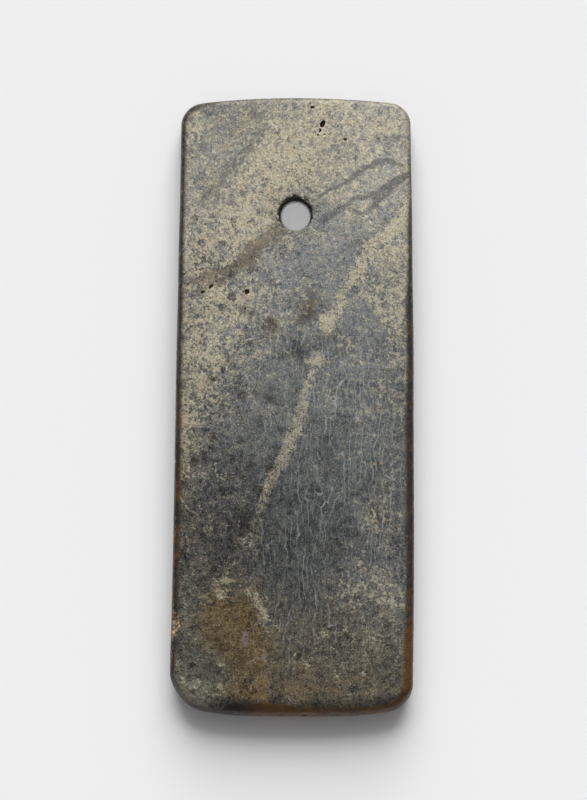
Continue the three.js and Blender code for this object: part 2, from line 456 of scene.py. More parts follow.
def weather(blade, settings):
    """Where the blade's points lie once it is ground, pitted, crumbled, nicked and chipped."""
    top = front_height(blade.points[:, 0], blade.points[:, 1])
    facing = ease(blade.points[:, 2] / top, 0.55, 0.95)
    moved = blade.points.copy()
    grind_waves(blade, moved, facing, settings.wave_height / MM)
    sink_pits(blade, moved, facing)
    crumble_mouth(blade, moved, facing)
    nick_arrises(blade, moved, settings.nick_depth / MM)
    break_chip(blade, moved)
    return moved


# ---------------------------------------------------------------- where the stone changes, in millimetres

# Veins and seams: x, y and half-width along each.
GREY_BAND = (
    (0.5, 60.5, 1.2), (-5.3, 56.8, 1.8), (-9.5, 53.5, 1.9), (-14.3, 48.6, 3.0), (-17.8, 46.0, 2.2),
    (-21.5, 44.4, 1.0), (-27.0, 42.6, 0.9), (-31.5, 41.0, 0.6), (-36.5, 39.4, -0.2),
)
DARK_VEINS = (
    ((8.5, 68.4, 0.4), (12.2, 70.4, 0.6), (16.1, 71.8, 0.6), (19.0, 73.2, 0.7), (23.6, 77.0, 0.8),
     (27.5, 79.2, 0.8), (32.7, 79.2, 0.7), (36.0, 78.0, 0.5)),
    ((40.0, 76.9, 1.0), (36.2, 74.6, 1.2), (33.3, 72.4, 1.3), (30.7, 70.4, 1.5), (28.4, 68.3, 1.3),
     (24.9, 68.3, 0.8), (21.0, 68.3, 0.6), (18.8, 66.6, 0.6), (16.4, 64.3, 1.0), (12.6, 61.6, 1.1),
     (9.0, 59.6, 0.7)),
    ((29.0, 68.5, 1.0), (26.8, 65.3, 0.9), (24.8, 63.4, 0.6), (21.0, 62.7, 0.5), (16.8, 64.4, 0.5)),
)
CREAM_SEAMS = (
    ((40.5, 68.0, 2.6), (37.0, 62.3, 2.8), (33.2, 57.6, 2.4), (28.6, 54.4, 2.0), (24.6, 50.8, 2.2),
     (22.4, 45.4, 1.8), (18.6, 40.0, 1.4), (15.9, 35.6, 1.3), (14.8, 30.0, 1.1)),
    ((6.0, 12.0, 0.4), (5.2, 8.0, 0.9), (4.0, 3.2, 1.3), (2.6, -1.9, 1.8), (0.9, -8.4, 2.0),
     (-1.0, -12.7, 2.1), (-3.8, -18.2, 1.6), (-6.6, -23.4, 1.9), (-9.2, -28.6, 1.3), (-11.4, -36.0, -0.4),
     (-14.8, -43.0, 0.2), (-18.0, -47.6, -0.5), (-21.0, -54.0, -0.2)),
)

PALE_CRACK = (
    (-37.5, -27.0, 0.2), (-36.0, -29.0, 0.3), (-33.6, -32.4, 0.25), (-29.6, -36.4, 0.0),
)

# Soft patches: x, y, half-length, half-width, turn in degrees, strength.
CREAM_PATCHES = (
    (-24.0, 52.0, 20.0, 8.0, 25, 0.36), (-20.0, 34.0, 12.0, 8.0, 10, 0.42),
    (-31.0, 20.0, 9.0, 12.0, 0, 0.42), (-31.0, 4.0, 7.0, 12.0, 0, 0.42), (-34.0, -4.5, 2.6, 3.2, 0, 0.5),
    (-24.5, 14.3, 2.4, 2.8, 0, 0.5), (-14.0, 18.0, 9.0, 10.0, 0, 0.2), (-18.0, 4.0, 9.0, 7.0, 0, 0.16),
    (-6.0, 74.0, 16.0, 9.0, 35, 0.32), (4.0, 88.0, 16.0, 7.0, 30, 0.14),
    (-24.0, 84.0, 12.0, 12.0, 0, -0.24), (-33.0, 90.0, 3.6, 6.0, 0, 0.4),
    (10.0, 60.0, 10.0, 6.0, 0, -0.2), (6.0, 48.0, 16.0, 9.0, 0, -0.12), (-2.0, 36.0, 8.0, 8.0, 0, 0.1),
    (26.0, 34.7, 2.6, 3.0, 0, 0.4), (30.5, 31.5, 2.0, 4.0, 0, 0.34), (30.0, 46.0, 9.0, 7.0, 40, 0.2),
    (19.4, 20.8, 2.6, 2.4, 0, 0.3), (27.8, 5.5, 2.6, 2.8, 0, 0.26), (34.5, 30.0, 2.2, 18.0, 0, 0.3),
    (10.8, 26.0, 3.0, 3.6, 0, 0.8), (8.3, 14.8, 2.8, 2.7, 0, 0.8), (-28.0, -22.0, 10.0, 14.0, 0, 0.12),
    (3.0, -46.0, 11.0, 26.0, 0, -0.2), (27.0, -46.0, 10.0, 24.0, 0, 0.08),
    (34.0, 16.0, 5.0, 22.0, 0, 0.14), (20.0, 10.0, 12.0, 16.0, 0, 0.08), (26.8, -35.5, 2.4, 3.4, 0, 0.4),
    (32.0, -34.0, 3.4, 6.0, 0, 0.26), (26.0, -57.0, 12.0, 5.0, -8, 0.32), (21.8, -48.4, 2.2, 2.0, 0, 0.3),
    (16.1, -73.4, 1.8, 1.5, 0, 0.5), (8.6, -73.6, 2.0, 1.6, 0, 0.3), (-22.4, -57.4, 2.2, 3.2, 20, 0.6),
    (-20.6, -50.6, 1.8, 1.8, 0, 0.3), (-13.5, -61.5, 3.6, 1.8, -30, 0.6),
    (-9.5, -66.5, 2.0, 4.5, 10, 0.6), (-12.5, -70.5, 2.0, 2.0, 0, 0.35),
    (-12.6, -89.0, 1.6, 2.6, 0, 0.36), (-1.0, -94.0, 1.6, 2.2, 0, 0.3), (4.1, -81.8, 1.8, 2.2, 0, 0.3),
    (-35.0, -14.0, 2.6, 8.0, 0, 0.42), (-29.0, -92.5, 7.0, 3.4, -35, 0.3),
    (-14.0, -43.0, 4.0, 5.0, 0, 0.2), (-27.0, -62.0, 7.0, 3.0, 30, 0.24),
    (30.0, -10.0, 8.0, 12.0, 0, 0.1), (12.0, 2.0, 3.0, 6.0, 0, 0.12), (24.0, -72.0, 14.0, 8.0, 0, 0.12),
)
LIGHT_PATCHES = (
    (-19.0, -37.0, 13.0, 13.0, 0, -0.12), (-14.0, -20.0, 9.0, 6.0, 0, -0.08),
    (2.6, 18.0, 3.0, 4.0, 0, -0.24), (5.7, 32.0, 4.5, 4.0, 0, -0.16), (-6.6, 25.7, 2.4, 2.0, 0, -0.26),
    (-34.0, 78.0, 5.0, 14.0, 0, -0.02), (-7.6, 3.6, 3.0, 2.0, 0, -0.2), (-16.7, 7.8, 2.0, 2.0, 0, -0.2),
    (-6.0, -19.5, 1.8, 1.8, 0, -0.34), (-15.1, -37.0, 2.0, 4.4, 15, -0.24),
    (22.0, 68.0, 12.0, 6.0, 15, 0.03), (-4.0, -50.0, 10.0, 8.0, 0, -0.06),
    (28.0, -58.0, 12.0, 26.0, 0, 0.16), (14.0, 22.0, 5.0, 3.0, 0, -0.16),
    # The second patch on the next line, lighter at the lower left corner, is painted light that offsets the
    # shade on the corner's bevel.
    (-17.0, -97.5, 5.0, 2.0, 0, -0.2), (-33.0, -95.0, 9.0, 4.0, -40, 0.42),
    (26.0, 76.0, 14.0, 26.0, 0, 0.08), (8.3, 14.8, 3.0, 3.0, 0, 0.04), (10.8, 26.0, 3.0, 3.6, 0, 0.12),
    (-27.0, -82.0, 8.0, 10.0, 0, -0.03), (-12.0, 52.0, 5.0, 4.0, 30, -0.08),
    (-26.0, 18.0, 13.0, 26.0, 0, 0.1), (16.0, 56.0, 12.0, 10.0, 0, 0.06),
    (-24.0, 92.0, 12.0, 8.0, 0, -0.08), (-4.0, 64.0, 10.0, 10.0, 0, -0.1),
    (-14.0, 48.0, 5.0, 3.0, 40, -0.1), (-29.0, 37.5, 6.0, 1.4, 15, -0.12),
    (21.0, 52.5, 4.0, 2.0, 20, -0.2), (34.0, 4.0, 6.0, 24.0, 0, -0.04), (30.0, 90.0, 12.0, 12.0, 0, 0.06),
    (-20.0, -78.0, 6.0, 6.0, 0, 0.1),
)
WARM_PATCHES = (
    (-23.0, -68.0, 18.0, 16.0, 0, 0.8), (0.0, -92.0, 50.0, 18.0, 0, 1.3),
    (8.0, -8.0, 26.0, 34.0, 0, -0.3), (4.0, -42.0, 14.0, 28.0, 0, -0.3),
    (-36.0, -10.0, 5.0, 34.0, 0, 0.7), (-14.5, -38.0, 4.0, 6.0, 0, 0.5),
    (-26.0, 48.0, 16.0, 16.0, 0, 0.25), (6.0, 88.0, 44.0, 24.0, 0, 0.45), (13.0, 22.0, 9.0, 9.0, 0, -0.3),
    (5.7, 32.0, 5.0, 4.0, 0, 0.5), (-6.6, 25.7, 3.0, 2.6, 0, 0.6), (30.0, 44.0, 9.0, 16.0, 0, 0.2),
    (-25.0, 71.0, 4.0, 5.0, 0, 0.3), (15.0, -68.0, 26.0, 14.0, 0, 0.4), (-28.0, 24.0, 9.0, 18.0, 0, 0.2),
    (28.0, -34.0, 5.0, 6.0, 0, 0.3), (-12.0, 6.0, 12.0, 14.0, 0, 0.15), (-4.0, 70.0, 14.0, 10.0, 0, 0.1),
    (-36.0, 84.0, 5.0, 16.0, 0, 0.3), (-25.0, -40.0, 14.0, 12.0, 0, 0.15),
)
OLIVE_PATCHES = (
    (-20.5, -69.5, 9.8, 10.2, 0, 1.15), (-14.5, -80.0, 6.5, 6.0, 0, 0.6), (-15.0, -93.0, 7.0, 4.0, 0, 0.5),
    (4.0, -91.0, 34.0, 9.0, 0, 0.42), (-4.0, -76.0, 10.0, 6.0, 0, 0.2),
)
LILAC_PATCHES = (
    (-15.2, -75.0, 1.6, 3.6, 0, 0.9), (-8.6, -79.6, 2.2, 1.8, 0, 0.8), (-28.0, -50.0, 7.0, 6.0, 0, 0.25),
)
GREEN_PATCHES = (
    (-30.0, -86.0, 9.0, 12.0, 0, 1.0), (-34.0, -64.0, 4.0, 7.0, 0, 0.7), (-26.0, 28.0, 12.0, 12.0, 0, 0.2),
)
SOOT_PATCHES = (
    (-22.0, 75.0, 8.0, 1.1, 50, 0.42), (-15.5, 80.5, 7.0, 0.9, 50, 0.4),
    (-27.0, 71.0, 3.0, 1.2, 50, 0.45), (13.6, 23.0, 1.2, 3.0, 0, 0.45), (8.0, 22.4, 3.4, 1.0, 0, 0.5),
    (11.8, 13.0, 1.0, 2.6, 0, 0.45), (6.8, 35.6, 1.8, 2.0, 0, 0.65), (-12.0, 30.5, 2.0, 1.2, 40, 0.6),
    (-20.0, 16.0, 2.0, 1.2, 20, 0.55), (-31.0, 12.0, 1.2, 2.4, 0, 0.5), (-16.0, 24.0, 1.4, 1.0, 0, 0.5),
    (-27.0, 8.0, 1.8, 1.0, 30, 0.5), (-25.5, -84.1, 1.7, 2.6, 0, 0.7), (-16.0, -82.0, 1.8, 1.4, 0, 0.7),
    (-15.1, -37.5, 2.0, 4.0, 15, 0.5), (2.6, 16.5, 1.8, 3.6, 0, 0.55), (5.3, 31.4, 2.6, 2.2, 30, 0.75),
    (2.6, 28.6, 1.8, 1.4, 0, 0.75), (-6.6, 25.7, 1.8, 1.5, 0, 0.6), (-7.4, 3.4, 2.2, 1.2, 0, 0.6),
    (-6.4, -19.6, 1.5, 1.5, 0, 0.8), (-16.5, 7.6, 1.4, 1.2, 0, 0.5), (3.2, -1.2, 0.7, 0.9, 0, 0.8),
    (21.0, 52.0, 3.0, 1.6, 20, 0.4), (-27.5, 38.2, 5.0, 1.2, 15, 0.45), (-22.0, 41.2, 4.0, 1.0, 25, 0.65),
    (-6.0, 53.2, 3.0, 0.9, 40, 0.5), (-14.5, 47.6, 3.6, 1.5, 35, 0.5), (-18.5, 47.0, 1.6, 0.9, 60, 0.5),
    (-36.0, 4.0, 2.0, 5.0, 0, 0.3), (-34.5, 15.0, 2.0, 3.0, 0, 0.3), (-17.5, -98.4, 3.6, 1.8, 0, 0.9),
)
STREAK_PATCHES = (
    (12.0, 0.0, 26.0, 26.0, 0, 0.8), (8.0, -40.0, 26.0, 26.0, 0, 1.0), (4.0, -66.0, 16.0, 14.0, 0, 0.7),
    (0.0, 22.0, 14.0, 12.0, 0, 0.5), (30.0, -20.0, 8.0, 34.0, 0, 0.6), (14.0, -82.0, 22.0, 10.0, 0, 0.3),
)
SPECK_PATCHES = (
    (-28.0, 20.0, 16.0, 34.0, 0, 1.15), (-30.0, -30.0, 12.0, 26.0, 0, 0.6),
    (-28.0, -86.0, 14.0, 12.0, 0, 0.6), (-20.0, 46.0, 14.0, 8.0, 20, 0.4),
    (14.0, 0.0, 20.0, 40.0, 0, -0.2), (10.0, -74.0, 30.0, 22.0, 0, 0.2),
)
RUST_PATCHES = (
    (-25.5, 42.5, 5.0, 2.6, 20, 0.5), (-14.4, 34.5, 1.2, 1.4, 0, 0.9), (-28.0, 52.0, 6.0, 3.0, 30, 0.3),
    (-34.0, -5.0, 2.0, 3.0, 0, 0.6), (-36.5, -20.0, 2.0, 16.0, 0, 0.35), (-32.0, 27.0, 5.0, 9.0, 0, 0.25),
    (15.9, -73.6, 1.2, 1.0, 0, 0.6), (26.8, -36.5, 1.4, 2.0, 0, 0.5), (30.5, -38.0, 2.4, 2.0, 0, 0.3),
    (17.0, 36.0, 3.0, 2.0, 0, 0.3), (-32.0, -62.0, 2.0, 3.0, 0, 0.3),
)

# The stone's lightness down the blade: y, lightness. The rise over the last few millimetres before the
# cutting edge is painted light that offsets the shade on the blade's bevel.
LIGHT_LEVELS = (
    (-100, 0.37), (-92, 0.335), (-80, 0.32), (-67, 0.325), (-55, 0.3), (-42, 0.31), (-30, 0.335),
    (-20, 0.365), (-5, 0.405), (5, 0.415), (20, 0.46), (40, 0.49), (60, 0.53), (80, 0.553), (100, 0.565),
)
CREAM_LEVELS = (
    (-100, 0.12), (-80, 0.16), (-60, 0.16), (-40, 0.12), (-20, 0.12), (0, 0.14), (20, 0.2), (40, 0.3),
    (60, 0.4), (80, 0.46), (100, 0.48),
)

# The dark edge band, partly the stone's polished rind and partly painted shade and dark reflection on the
# rounded edge, at places round the edge: how far across and how far up, each from -1 to 1, then the band's
# width in millimetres, its share of amber (above 1 a painted glow of light through the thin edge) and its
# share of pale wear.
RIND_AND_SHADE_STATIONS = (
    (-0.95, 0.95, 1.7, 0.2, 0.35), (-1.0, 0.67, 1.6, 0.05, 0.3), (-1.0, 0.25, 1.8, 0.05, 0.15),
    (-1.0, -0.08, 2.0, 0.3, 0.15), (-1.0, -0.3, 2.2, 0.5, 0.1), (-1.0, -0.5, 2.2, 0.5, 0.1),
    (-1.0, -0.63, 2.0, 0.2, 0.1), (-1.0, -0.82, 1.5, 0.0, 0.0), (-0.93, -0.95, 0.9, 0.0, 0.0),
    (-0.65, -1.0, 1.3, 0.1, 0.0), (-0.45, -1.0, 3.6, 0.3, 0.0), (-0.2, -1.0, 4.6, 1.7, 0.0),
    (0.15, -1.0, 3.0, 1.6, 0.0), (0.5, -1.0, 2.8, 1.7, 0.0), (0.8, -1.0, 2.8, 1.6, 0.0),
    (0.95, -0.95, 3.2, 1.1, 0.0), (1.0, -0.8, 3.0, 1.05, 0.0), (1.0, -0.66, 2.6, 0.55, 0.0),
    (1.0, -0.5, 2.5, 0.1, 0.0), (1.0, -0.15, 2.6, 0.15, 0.0), (1.0, 0.25, 2.3, 0.15, 0.1),
    (1.0, 0.57, 1.5, 0.1, 0.3), (1.0, 0.74, 0.9, 0.1, 0.5), (0.97, 0.96, 0.6, 0.3, 0.8),
    (0.4, 1.0, 0.5, 0.1, 0.5), (-0.45, 1.0, 0.6, 0.1, 0.4),
)


def patch_sum(places, patches):
    """Sum of soft oval patches at each place."""
    total = np.zeros(len(places))
    for x, y, half_length, half_width_, turn, strength in patches:
        away = turned_oval(places, x, y, half_length, half_width_, turn)
        total += strength * np.exp(-(away ** 2) * 0.9)
    return total


def seam_depth(places, seam):
    """How far inside a seam each place is, in millimetres, below zero outside it."""
    best = np.full(len(places), -99.0)
    for start, end in zip(seam, seam[1:]):
        a, b = np.array(start[:2]), np.array(end[:2])
        run = b - a
        share = np.clip((places - a) @ run / (run @ run), 0.0, 1.0)
        away = np.hypot(*(places - a - share[:, None] * run).T)
        best = np.maximum(best, blend(start[2], end[2], share) - away)
    return best


def levels(y, stops):
    """A value that changes smoothly down the blade."""
    at, value = np.array(stops, float).T
    return np.interp(y, at, value)


def stone_fields(blade):
    """What the stone is like at each point of the mesh, with the painted shade and glow of the edge band and
    the painted shade in the hole, as named fields that the shader reads.
    """
    points = blade.points
    top = front_height(points[:, 0], points[:, 1])
    front = ease(points[:, 2] / top, 0.1, 0.7)
    drift = np.column_stack((rough(points, 9.0, 20), rough(points, 9.0, 21)))
    close = np.column_stack((rough(points, 3.2, 22), rough(points, 3.2, 23)))
    soft = points[:, :2] + 2.2 * drift + 0.7 * close
    firm = points[:, :2] + 1.0 * close + 0.5 * drift
    y = soft[:, 1]
    cloud = rough(points, 17.0, 24)
    near = blade.outline.index(points[:, :2])
    rim = blade.outline.points[near]
    stations = np.array(RIND_AND_SHADE_STATIONS)
    at = plan_points(*stations[:, :2].T)
    weight = 1.0 / (np.hypot(rim[:, :1] - at[:, 0], rim[:, 1:] - at[:, 1]) ** 3 + 2.0)
    weight /= weight.sum(axis=1, keepdims=True)
    width, amber, worn = (weight @ stations[:, 2:]).T
    back_cream = 0.16 + 0.22 * cloud
    from_hole = np.hypot(*(points[:, :2] - HOLE).T) - HOLE_RADII["front"]
    # The hole's darkening: painted shade over its whole wall, and dirt spreading out on the crumbled side of
    # its mouth.
    grime = blend(-0.35, 0.9, crumbled_side(points)) - from_hole
    veins = np.max([seam_depth(firm, vein) for vein in DARK_VEINS], axis=0)
    seams = np.max([seam_depth(firm, seam) for seam in CREAM_SEAMS], axis=0)
    return {
        "cream": blend(back_cream, levels(y, CREAM_LEVELS) + patch_sum(soft, CREAM_PATCHES), front),
        "light": levels(y, LIGHT_LEVELS) + 0.45 * front * patch_sum(soft, LIGHT_PATCHES) + 0.04 * cloud,
        "warm": patch_sum(soft, WARM_PATCHES),
        "olive": front * patch_sum(soft, OLIVE_PATCHES),
        "lilac": front * patch_sum(soft, LILAC_PATCHES),
        "green": front * patch_sum(soft, GREEN_PATCHES),
        "soot": front * patch_sum(soft, SOOT_PATCHES),
        "streak": patch_sum(soft, STREAK_PATCHES),
        "speck": patch_sum(soft, SPECK_PATCHES),
        "rust": front * patch_sum(soft, RUST_PATCHES),
        "grey_band": blend(-6.0, np.maximum(seam_depth(firm, GREY_BAND), -6.0), front),
        "dark_vein": blend(-6.0, np.maximum(veins, -6.0), front),
        "cream_seam": np.maximum(seams, -6.0),
        "pale_crack": blend(-6.0, np.maximum(seam_depth(firm, PALE_CRACK), -6.0), front),
        # Mask of the dark edge band: the stone's rind, and painted shade and dark reflection on the rounded
        # edge.
        "rind": width - blade.inset,
        # Amber share of the edge band; above 1 it is a painted glow of light through the thin edge.
        "amber": amber,
        "worn": worn * ease(points[:, 2] / top, 0.8, 0.95),
        "broken": np.clip(blade.broken * 2.0, 0.0, 1.0),
        "pit": np.clip(blade.pit * 2.2, 0.0, 1.0),
        "crumb": np.clip(blade.crumb * 2.0, 0.0, 1.0),
        "grime": np.clip(np.where(from_hole < 0.1, np.maximum(grime, 0.9), grime), -3.0, 1.0),
    }


# ---------------------------------------------------------------- shader expressions


def linear(red, green, blue):
    """A display colour, 0 to 255, as scene values."""
    shares = (red / 255, green / 255, blue / 255)
    return tuple(((c + 0.055) / 1.055) ** 2.4 if c > 0.04045 else c / 12.92 for c in shares)


class Value:
    """One socket of a node tree. Arithmetic on it adds Math nodes."""

    def __init__(self, tree, socket):
        self.tree, self.socket = tree, socket

    def _math(self, operation, *values):
        return self.tree.node("ShaderNodeMath", {"operation": operation}, *values)

    def __add__(self, other):
        return self._math("ADD", self, other)

    def __sub__(self, other):
        return self._math("SUBTRACT", self, other)

    def __rsub__(self, other):
        return self._math("SUBTRACT", other, self)

    def __mul__(self, other):
        return self._math("MULTIPLY", self, other)

    __radd__, __rmul__ = __add__, __mul__

    def above(self, low, high):
        """0 where the value is below low, 1 where it is above high, smooth between."""
        settings = {"interpolation_type": "SMOOTHSTEP"}
        return self.tree.node("ShaderNodeMapRange", settings, self, low, high, 0.0, 1.0)

    def power(self, exponent):
        return self._math("POWER", self.highest(0.0), exponent)

    def highest(self, other):
        return self._math("MAXIMUM", self, other)

    def distance_to(self, other):
        return self._math("ABSOLUTE", self - other)

    def fraction(self):
        return self._math("FRACT", self)


class Tree:
    """A material's node tree, built by expressions."""

    def __init__(self, name):
        self.material = bpy.data.materials.new(name)
        self.material.use_nodes = True
        self.nodes = self.material.node_tree.nodes
        self.nodes.clear()

    def node(self, kind, settings, *values, output=0, **named):
        """Adds one node: its settings first, then its sockets in order or by name."""
        made = self.nodes.new(kind)
        for key, value in settings.items():
            setattr(made, key, value)
        wanted = [(made.inputs[i], value) for i, value in enumerate(values)]
        wanted += [(made.inputs[key], value) for key, value in named.items()]
        for socket, value in wanted:
            if isinstance(value, Value):
                self.material.node_tree.links.new(value.socket, socket)
            elif value is not None:
                socket.default_value = value
        return Value(self, made.outputs[output])

    def finished(self, surface):
        """Joins a surface to the material's output and returns the material."""
        out = self.nodes.new("ShaderNodeOutputMaterial")
        self.material.node_tree.links.new(surface.socket, out.inputs["Surface"])
        return self.material

    def field(self, name):
        """One of the mesh's named fields."""
        settings = {"attribute_type": "GEOMETRY", "attribute_name": name}
        return self.node("ShaderNodeAttribute", settings, output=2)

    def blend(self, share, low, high):
        """Mix of two colours."""
        low, high = ((*c, 1.0) if isinstance(c, tuple) else c for c in (low, high))
        unused = (None,) * 5
        return self.node("ShaderNodeMix", {"data_type": "RGBA"}, share, *unused, low, high, output=2)

    def scaled(self, colour, factor):
        """A colour made lighter or darker by a value."""
        return self.node("ShaderNodeVectorMath", {"operation": "SCALE"}, colour, Scale=factor)

    def shade(self, tint, lightness):
        """A tint at a display lightness from 0 to 1."""
        return self.scaled(tint, lightness.power(2.2))

    def grain(self, place, size, detail=2.0, roughness=0.55, shift=0.0, stretch=(1.0, 1.0, 1.0)):
        """Noise centred on zero that mostly stays within -1 and 1, with lumps of this size in millimetres."""
        scale = tuple(1.0 / (size * s) for s in stretch)
        moved = (shift, shift * 0.7, shift * 1.3)
        at = self.node("ShaderNodeMapping", {"vector_type": "POINT"}, place, moved, None, scale)
        found = self.node("ShaderNodeTexNoise", {}, Vector=at, Scale=1.0, Detail=detail, Roughness=roughness)
        return (found - 0.5) * 5.0


# ---------------------------------------------------------------- the stone


def wavy_lines(tree, place):
    """Fine pale lines that wander down the blade, and the fibres between them."""
    x = tree.node("ShaderNodeSeparateXYZ", {}, place, output=0)
    bend = tree.grain(place, 13.0, detail=2.0, stretch=(1.0, 2.0, 1.0), shift=11.0)
    ripple = tree.grain(place, 3.4, detail=2.0, stretch=(1.0, 1.4, 1.0), shift=13.0)
    phase = x * 0.45 + bend * 1.25 + ripple * 0.34
    line = 1.0 - phase.fraction().distance_to(0.5).above(0.0, 0.12)
    breaks = tree.grain(place, 2.6, detail=2.0, stretch=(1.0, 5.0, 1.0), shift=17.0).above(-0.7, 0.7)
    fibres = tree.grain(place, 0.42, detail=1.5, stretch=(1.0, 7.0, 1.0), shift=19.0)
    return line * breaks, fibres


def clasts(tree, place):
    """Small rounded lumps of other stone: how dark, how brown and how pale each place in them is."""
    bend = tree.node("ShaderNodeTexNoise", {}, Vector=place, Scale=0.5, Detail=3.0, Roughness=0.65, output=1)
    offset = tree.node("ShaderNodeVectorMath", {"operation": "SCALE"}, bend, Scale=2.2)
    bent = tree.node("ShaderNodeVectorMath", {"operation": "ADD"}, place, offset)
    spacing = 3.1
    away, drawn = (
        tree.node("ShaderNodeTexVoronoi", {"feature": "F1"}, Vector=bent, Scale=1.0 / spacing, output=i)
        for i in (0, 1)
    )
    kind = tree.node("ShaderNodeSeparateXYZ", {}, drawn, output=0)
    inside = 1.0 - away.above(0.36, 0.56)
    dark = (1.0 - kind.above(0.1, 0.12)) * inside
    brown = kind.above(0.11, 0.13) * (1.0 - kind.above(0.2, 0.22)) * inside
    pale = kind.above(0.86, 0.88) * inside
    return dark, brown, pale


class Stone(Tree):
    """The stone's node tree, with the noises, lumps and lightness that all of its markings share."""

    def __init__(self, colours):
        super().__init__("jadeite")
        self.colours = colours
        local = self.node("ShaderNodeTexCoord", {}, output=3)
        self.place = place = self.node("ShaderNodeVectorMath", {"operation": "SCALE"}, local, Scale=1.0 / MM)
        self.fine = fine = self.grain(place, 0.55, detail=2.5, roughness=0.7, shift=21.0)
        self.mid = self.grain(place, 1.6, detail=2.0, roughness=0.6, shift=23.0)
        self.clump = self.grain(place, 2.7, detail=2.0, roughness=0.6, shift=3.0)
        self.broad = self.grain(place, 7.0, detail=3.0, roughness=0.55, shift=25.0)
        self.noises = (self.fine, self.mid, self.clump, self.broad)
        self.moss = self.grain(place, 3.0, detail=2.5, roughness=0.65, shift=61.0) + fine * 0.35
        self.earth = self.grain(place, 3.4, detail=2.5, roughness=0.65, shift=71.0) + fine * 0.35
        self.lines, self.fibres = wavy_lines(self, place)
        self.streak = self.field("streak")

        speck = self.field("speck")
        self.mottle = (speck * 0.6 + 0.45).above(0.0, 1.0)
        dark, self.brown, self.pale = (lump * self.mottle for lump in clasts(self, place))
        clast = (self.grain(place, 2.3, detail=1.5, shift=41.0) + fine * 0.15).above(0.1, 0.8)
        self.clast = (clast * (speck * 0.4 + 0.06)).highest(dark).highest(self.brown)
        self.level = self.field("light") - dark * 0.07 - self.brown * 0.08 - self.clast * 0.02

    def tint(self, name):
        """One of the stone's named colours."""
        return tuple(getattr(self.colours, name))

    def ragged(self, name, low, high, **weights):
        """0 where a named field is below low, 1 above high, with noises that make the boundary ragged."""
        value = self.field(name)
        for noise_name, weight in weights.items():
            value = value + getattr(self, noise_name) * weight
        return value.above(low, high)


def ground(stone):
    """The blue-grey to grey-brown ground: its colour and its lightness."""
    fine, mid, clump, broad = stone.noises
    light = stone.level + fine * (0.15 - stone.streak * 0.04) + mid * (0.07 - stone.streak * 0.02)
    light = light + clump * 0.045 + broad * 0.04 + stone.fibres * stone.streak * 0.05
    hue = (stone.field("warm") - fine * 0.25 + mid * 0.2 + clump * 0.3 + broad * 0.25).above(-0.3, 1.0)
    mossy = stone.moss.above(0.0, 1.1) * (stone.mottle + 0.2) * 0.6
    earthy = (stone.earth.above(0.2, 1.2) * stone.mottle * 0.7).highest(stone.brown)
    tint = stone.blend(hue, stone.tint("cool"), stone.tint("warm"))
    tint = stone.blend(mossy, tint, stone.tint("green"))
    tint = stone.blend(earthy, tint, stone.tint("earth"))
    return stone.shade(tint, light), light


def stains(stone, colour, light):
    """Olive, grey-green and lilac stains: the stained colour, and where it is olive."""
    olive = stone.ragged("olive", 0.2, 0.75, mid=0.14, clump=0.16, broad=0.1)
    colour = stone.blend(olive * 0.95, colour, stone.shade(stone.tint("olive"), light + 0.045))
    green = stone.ragged("green", 0.1, 1.0, mid=0.3, clump=0.2)
    colour = stone.blend(green * 0.6, colour, stone.shade(stone.tint("green"), light + 0.03))
    lilac = stone.ragged("lilac", 0.3, 0.9, mid=0.25, fine=0.1)
    return stone.blend(lilac * 0.55, colour, stone.tint("lilac")), olive


def bands(stone, colour):
    """The smooth grey band with its cracked margins, and the dark veins: the colour, and where each is."""
    fine, mid, clump, broad = stone.noises
    band = stone.ragged("grey_band", -0.7, 0.7, mid=0.6, clump=0.7, fine=0.2)
    cloudy = 1.0 + mid * 0.12 + fine * 0.12 + clump * 0.12 + broad * 0.15
    colour = stone.blend(band * 0.85, colour, stone.scaled(stone.tint("band"), cloudy))
    margin = stone.field("grey_band") + mid * 0.5 + clump * 0.5 + 0.3
    crack = 1.0 - margin.distance_to(0.0).above(0.05, 0.5)
    colour = stone.blend(crack * (fine + 0.4).above(-0.5, 0.8) * 0.4, colour, stone.tint("crack"))
    vein = stone.ragged("dark_vein", -0.45, 0.3, mid=0.3, fine=0.25, clump=0.22)
    vein_colour = stone.scaled(stone.tint("vein"), 1.0 + fine * 0.15 + mid * 0.1)
    return stone.blend(vein * 0.68, colour, vein_colour), band, vein


def flecks(stone, colour, olive, band, vein):
    """Cream flecks, closest in the seams: the colour with them, their own colour, and how far they cover."""
    fine, mid, clump, broad = stone.noises
    seam = stone.ragged("cream_seam", -0.6, 0.9, mid=0.7, fine=1.0, clump=0.4)
    density = stone.field("cream") + seam * 0.45 + stone.pale * 0.35 - olive * 0.2
    density = density * (1.0 - band * 0.8) * (1.0 - vein * 0.7) * (1.0 - stone.clast * 0.8)
    small = stone.grain(stone.place, 0.75, detail=2.5, roughness=0.7) * 0.7
    large = stone.grain(stone.place, 1.8, detail=2.0, roughness=0.6, shift=5.0) * 0.65
    cover = (small + large + broad * 0.25 + (density - 0.5) * 1.9).above(-0.3, 0.62)

    cream = stone.blend((clump + small).above(-0.7, 0.7), stone.tint("cream_tan"), stone.tint("cream_pale"))
    cream = stone.blend(stone.moss.above(0.0, 1.0) * 0.55, cream, stone.tint("cream_moss"))
    cream = stone.blend(stone.earth.above(0.3, 1.3) * 0.5, cream, stone.tint("cream_pink"))
    cream = stone.blend(stone.ragged("rust", 0.1, 0.8, fine=0.3, mid=0.3) * 0.6, cream, stone.tint("rust"))
    cream = stone.shade(cream, stone.level * 0.56 + 0.448 + fine * 0.17 + mid * 0.05)
    shown = (cover * 0.85).highest(seam * (0.36 + fine * 0.3))
    return stone.blend(shown, colour, cream), cream, cover


